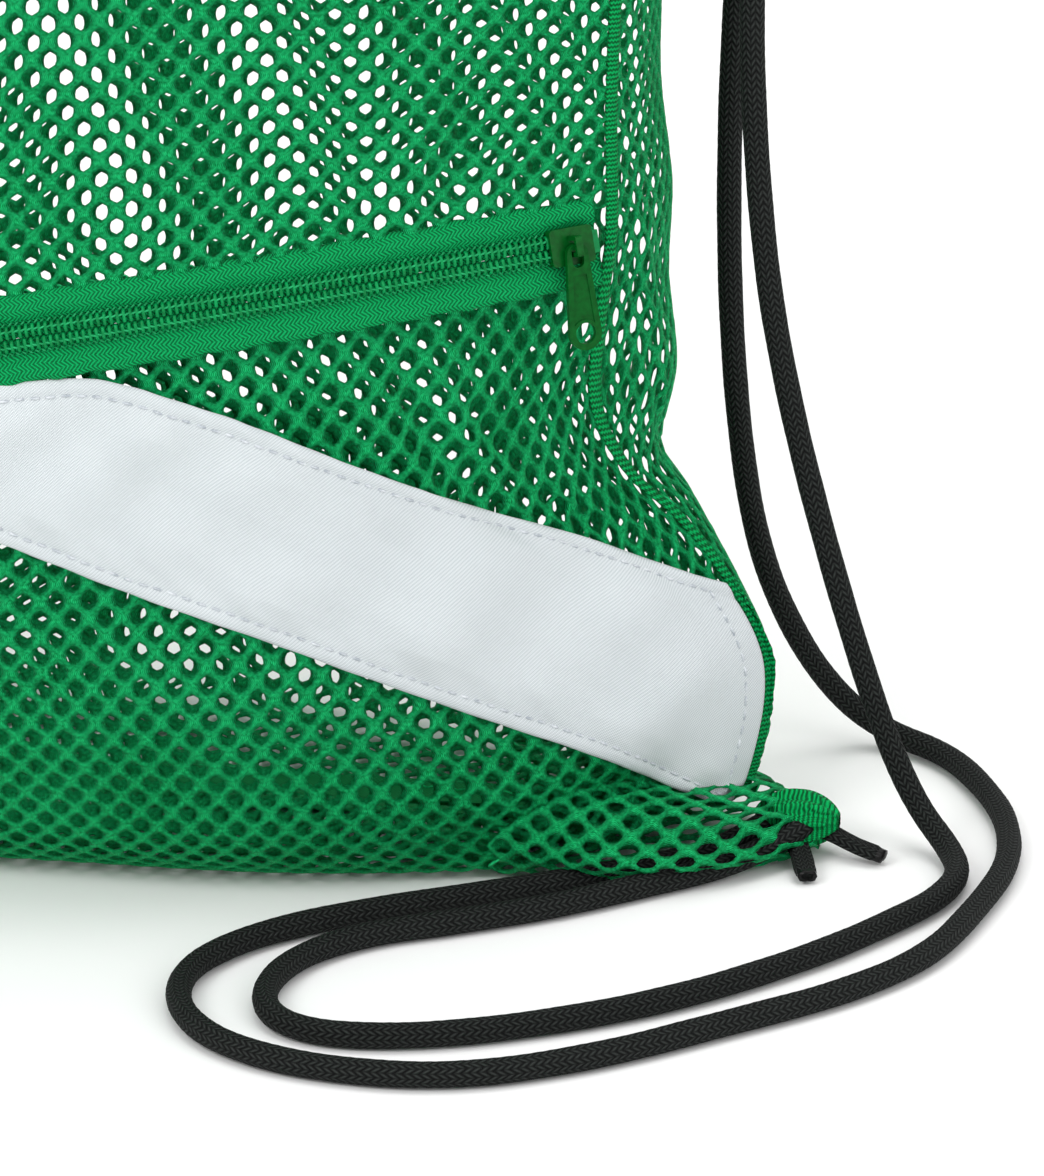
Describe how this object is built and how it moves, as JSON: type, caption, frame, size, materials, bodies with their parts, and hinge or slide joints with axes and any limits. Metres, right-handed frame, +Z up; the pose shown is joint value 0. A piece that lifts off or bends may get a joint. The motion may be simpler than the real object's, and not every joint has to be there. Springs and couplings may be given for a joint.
{
  "type": "drawstring backpack",
  "caption": "Soft mesh drawstring backpack with a diagonal zipped front pocket, a woven stripe, a cinch mouth with two drawcords and gathered bottom corners.",
  "frame": {"origin": "on the floor, under the middle of the bag's box without its cords", "axes": "+Z up, the pocket side faces -Y, +X to the wearer's left when worn"},
  "size_m": [0.4334, 0.2165, 0.411],
  "materials": {
    "mesh": "slightly shiny knitted polyester mesh",
    "stripe_cloth": "white plain-woven nylon",
    "seam_tape": "overlocked and bound green polyester",
    "zip_tape": "woven green zipper tape",
    "zip_coil": "green nylon coil with its sewing thread",
    "slider_paint": "glossy dark green enamel on cast zinc",
    "cord": "matte black braided polyester",
    "cord_end": "melted and flattened black cord end",
    "thread": "dense green zigzag stitches"
  },
  "bodies": {
    "bag": {"front_mesh_upper": "mesh", "pocket_mesh": "mesh", "pocket_backing_mesh": "mesh", "back_mesh": "mesh", "side_seam_right": "seam_tape", "side_seam_left": "seam_tape", "bottom_seam_binding": "seam_tape", "corner_gather_right": "mesh", "corner_gather_left": "mesh", "stripe": "stripe_cloth", "zipper_tape_upper": "zip_tape", "zipper_tape_lower": "zip_tape", "zipper_coil_upper": "zip_coil", "zipper_coil_lower": "zip_coil", "zipper_stop_right": "zip_coil", "zipper_stop_left": "zip_coil", "hem_channel_front": "seam_tape", "hem_channel_back": "seam_tape", "channel_bar_tacks": "thread", "drawcord_right": "cord", "drawcord_left": "cord", "cord_tails_right": "cord_end", "cord_tails_left": "cord_end"},
    "slider": {"slider_body": "slider_paint", "slider_bail": "slider_paint"},
    "pull": {"pull_tab": "slider_paint"}
  },
  "joints": [
    {"name": "zipper_travel", "type": "hinge", "parent": "bag", "child": "slider", "pos_m": [0.009, 0.15995, 0.06951], "axis": [0.1925, -0.1925, -0.9623], "range_deg": [0, 65.5]},
    {"name": "pull_swing", "type": "hinge", "parent": "slider", "child": "pull", "pos_m": [0.13129, -0.04037, 0.13403], "axis": [-0.8429, -0.5345, -0.0617], "range_deg": [0, 150]}
  ]
}
